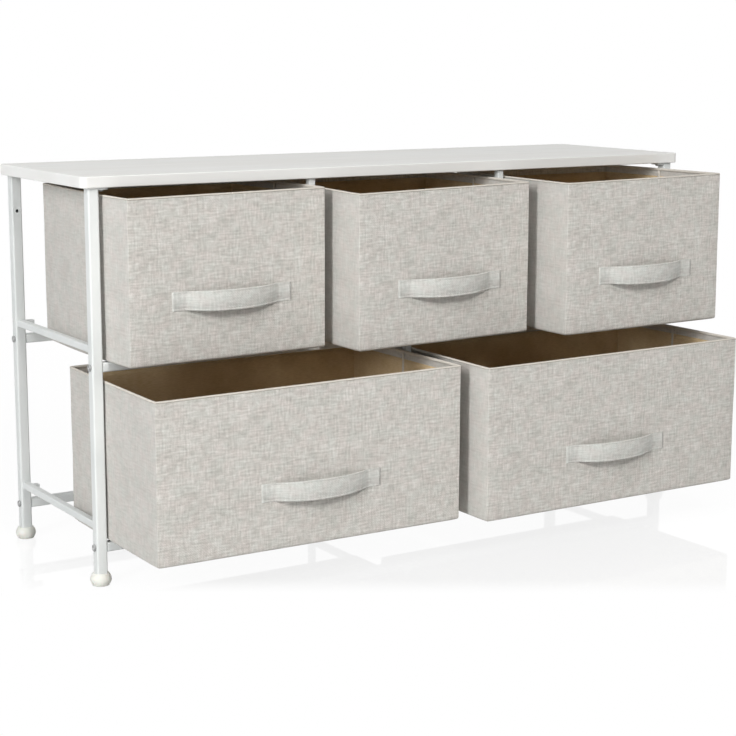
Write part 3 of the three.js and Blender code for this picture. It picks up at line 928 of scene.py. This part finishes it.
def bolt(level, end, side):
    """A cap screw whose head stands on the leg's outer face, with a hexagonal socket."""
    node = f"bolt_{level}_{end}_{side}"
    low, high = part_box(node)
    sign = -1 if side == "left" else 1
    outer_x = low.x if side == "left" else high.x
    inner_x = high.x if side == "left" else low.x
    centre = Vector((outer_x - sign * BOLT_HEAD_HEIGHT, (low.y + high.y) / 2, (low.z + high.z) / 2))
    head = (high.z - low.z) / 2
    shank = BOLT_SHANK
    depth = abs(centre.x - inner_x)
    profile = [(shank * BOLT_SHANK_END_SHARE, -depth), (shank, -depth), (shank, 0.0), (head, 0.0)]
    for k in range(ROUND_STEPS + 1):
        turn = 0.5 * math.pi * k / ROUND_STEPS
        profile.append((
            head - BOLT_EDGE_ROUND * (1 - math.cos(turn)),
            BOLT_HEAD_HEIGHT - BOLT_EDGE_ROUND * (1 - math.sin(turn)),
        ))
    rim = len(profile)
    profile.extend([
        (BOLT_SOCKET_ACROSS * BOLT_SOCKET_RIM_SHARE, BOLT_HEAD_HEIGHT),
        (BOLT_SOCKET_ACROSS, BOLT_HEAD_HEIGHT - BOLT_EDGE_ROUND / 2),
        (BOLT_SOCKET_ACROSS, BOLT_HEAD_HEIGHT - BOLT_SOCKET_DEPTH),
    ])

    def hexagon(index, radius, angle):
        """The rings below the socket's rim have six sides."""
        if index <= rim:
            return radius
        sixth = math.pi / 3
        return radius / math.cos(angle % sixth - sixth / 2)

    name = f"cap_screw_{level}_{end}_{side}"
    return turned(name, centre, (sign, 0, 0), profile, BOLT_SEGMENTS, ZINC, "bolt", node, hexagon)


def dress_frame():
    """Gives every CAD node that stays its own finish."""
    for name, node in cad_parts.items():
        if name == "top_panel":
            material = LAMINATE
        elif name.startswith(("bolt_", "panel_screw_")):
            material = ZINC
        elif name.startswith("foot_"):
            material = IVORY
        elif name.startswith("drawer_"):
            material = FIBREBOARD if name.endswith("board") else LINEN
        else:
            material = COATED
        node.data.materials.clear()
        node.data.materials.append(material)


def make_camera():
    """A camera where the photographer stood, rolled and shifted as the picture is."""
    forward = Vector((
        math.sin(CAMERA_YAW) * math.cos(CAMERA_PITCH),
        math.cos(CAMERA_YAW) * math.cos(CAMERA_PITCH),
        -math.sin(CAMERA_PITCH),
    ))
    level = Vector((math.cos(CAMERA_YAW), -math.sin(CAMERA_YAW), 0))
    upright = level.cross(forward)
    right = level * math.cos(CAMERA_ROLL) + upright * math.sin(CAMERA_ROLL)
    up = upright * math.cos(CAMERA_ROLL) - level * math.sin(CAMERA_ROLL)
    data = bpy.data.cameras.new("camera")
    data.sensor_width = SENSOR_WIDTH
    data.lens = FOCAL_PIXELS / IMAGE_PIXELS * SENSOR_WIDTH
    data.shift_x = (IMAGE_PIXELS / 2 - CENTRE_PIXEL_X) / IMAGE_PIXELS
    data.shift_y = (CENTRE_PIXEL_Y - IMAGE_PIXELS / 2) / IMAGE_PIXELS
    camera = bpy.data.objects.new("camera", data)
    turned_to = Matrix((right, up, -forward)).transposed().to_4x4()
    camera.matrix_world = Matrix.Translation(CAMERA_PLACE) @ turned_to
    bpy.context.scene.collection.objects.link(camera)
    bpy.context.scene.camera = camera


def make_room():
    """An even light from all round. The camera and mirrors see plain white instead."""
    world = bpy.data.worlds.new("studio")
    bpy.context.scene.world = world
    world.use_nodes = True
    nodes, links = world.node_tree.nodes, world.node_tree.links
    nodes.clear()

    def larger(first, second):
        node = nodes.new("ShaderNodeMath")
        node.operation = "MAXIMUM"
        links.new(first, node.inputs[0])
        links.new(second, node.inputs[1])
        return node.outputs["Value"]

    def background(strength):
        node = nodes.new("ShaderNodeBackground")
        node.inputs["Color"].default_value = WHITE
        node.inputs["Strength"].default_value = strength
        return node.outputs["Background"]

    ray = nodes.new("ShaderNodeLightPath").outputs
    seen = larger(larger(ray["Is Camera Ray"], ray["Is Glossy Ray"]), ray["Is Transmission Ray"])
    mix = nodes.new("ShaderNodeMixShader")
    for index, value in enumerate((seen, background(ROOM_LIGHT), background(1.0))):
        links.new(value, mix.inputs[index])
    out = nodes.new("ShaderNodeOutputWorld")
    links.new(mix.outputs["Shader"], out.inputs["Surface"])


def make_softbox(name, azimuth, elevation, width, height, strength, colour, mirrored=True):
    """A flat light. Strength is how bright a white surface that faces it gets."""
    turn, rise = math.radians(azimuth), math.radians(elevation)
    away = Vector((math.sin(turn) * math.cos(rise), -math.cos(turn) * math.cos(rise), math.sin(rise)))
    data = bpy.data.lights.new(name, "AREA")
    data.shape = "RECTANGLE"
    data.size = width
    data.size_y = height
    data.color = colour
    data.energy = strength * math.pi ** 2 * LAMP_DISTANCE ** 2
    lamp = bpy.data.objects.new(name, data)
    lamp.location = LIGHT_AIM + away * LAMP_DISTANCE
    lamp.rotation_mode = "QUATERNION"
    lamp.rotation_quaternion = away.to_track_quat("Z", "Y")
    lamp.visible_camera = False
    lamp.visible_glossy = mirrored
    bpy.context.scene.collection.objects.link(lamp)


def floor_look():
    """White gloss floor: near the dresser it keeps shadows and a faint reflection, and fades to white."""
    look = Look("floor_white")
    shade = look.add("BsdfDiffuse", {"Color": grey(FLOOR_SHADE_ALBEDO)})
    glow = look.add("Emission", {"Color": WHITE, "Strength": FLOOR_GLOW})
    body = look.add("AddShader", {0: shade.outputs["BSDF"], 1: glow.outputs["Emission"]})
    mirror = look.add("BsdfAnisotropic", {"Color": WHITE, "Roughness": FLOOR_MIRROR_ROUGHNESS})

    def between(factor, first, second):
        return look.add("MixShader", {0: factor, 1: first, 2: second}).outputs["Shader"]

    glossy = between(FLOOR_MIRROR_SHARE, body.outputs["Shader"], mirror.outputs["BSDF"])
    parts = look.parts(look.place("Object"))
    rightwards = look.scaled(parts["X"], math.sin(CAMERA_YAW))
    backwards = look.scaled(parts["Y"], math.cos(CAMERA_YAW))
    depth = look.total(rightwards, backwards)
    near = look.remap(depth, "SMOOTHSTEP", From_Min=FLOOR_FADE_START, From_Max=FLOOR_FADE_END)
    squares = [look.math("MULTIPLY", parts[axis], parts[axis]) for axis in ("X", "Y")]
    away = look.math("SQRT", look.total(*squares))
    far = look.remap(away, "SMOOTHSTEP", From_Min=FLOOR_FAR_START, From_Max=FLOOR_FAR_END)
    plain = look.add("Emission", {"Color": WHITE, "Strength": 1.0})
    seen = between(look.math("MAXIMUM", near, far), glossy, plain.outputs["Emission"])
    bounce = look.add("BsdfDiffuse", {"Color": grey(FLOOR_BOUNCE_ALBEDO)})
    camera_ray = look.add("LightPath").outputs["Is Camera Ray"]
    both = between(camera_ray, bounce.outputs["BSDF"], seen)
    look.fill(look.tree.nodes["Material Output"], {"Surface": both})
    return look.material


def make_floor():
    """A round floor, far wider than the picture."""
    turns = [2 * math.pi * k / FLOOR_SIDES for k in range(FLOOR_SIDES)]
    points = [(FLOOR_RADIUS * math.cos(turn), FLOOR_RADIUS * math.sin(turn), 0.0) for turn in turns]
    mesh = bpy.data.meshes.new("floor")
    mesh.from_pydata(points, [], [tuple(range(FLOOR_SIDES))])
    mesh.materials.append(floor_look())
    floor = bpy.data.objects.new("floor", mesh)
    bpy.context.scene.collection.objects.link(floor)


make_camera()
make_room()
for lamp_name, lamp_values in LAMPS.items():
    make_softbox(lamp_name, **lamp_values)
make_floor()
dress_frame()

for bin_index, bin_name in enumerate(LEANS):
    drawer_bin = Bin(bin_name, bin_index)
    drawer_strap = Strap(drawer_bin)
    bin_cover(drawer_bin)
    bin_lining(drawer_bin)
    rim_tape(drawer_bin)
    fold_tapes(drawer_bin)
    base_board(drawer_bin)
    strap_handle(drawer_bin, drawer_strap)
    stitches(drawer_bin, drawer_strap)

for end_name in ("front", "rear"):
    for side_name in ("left", "right"):
        foot(end_name, side_name)
        bolt("low", end_name, side_name)
        bolt("mid", end_name, side_name)

bpy.context.scene.view_settings.view_transform = "Standard"
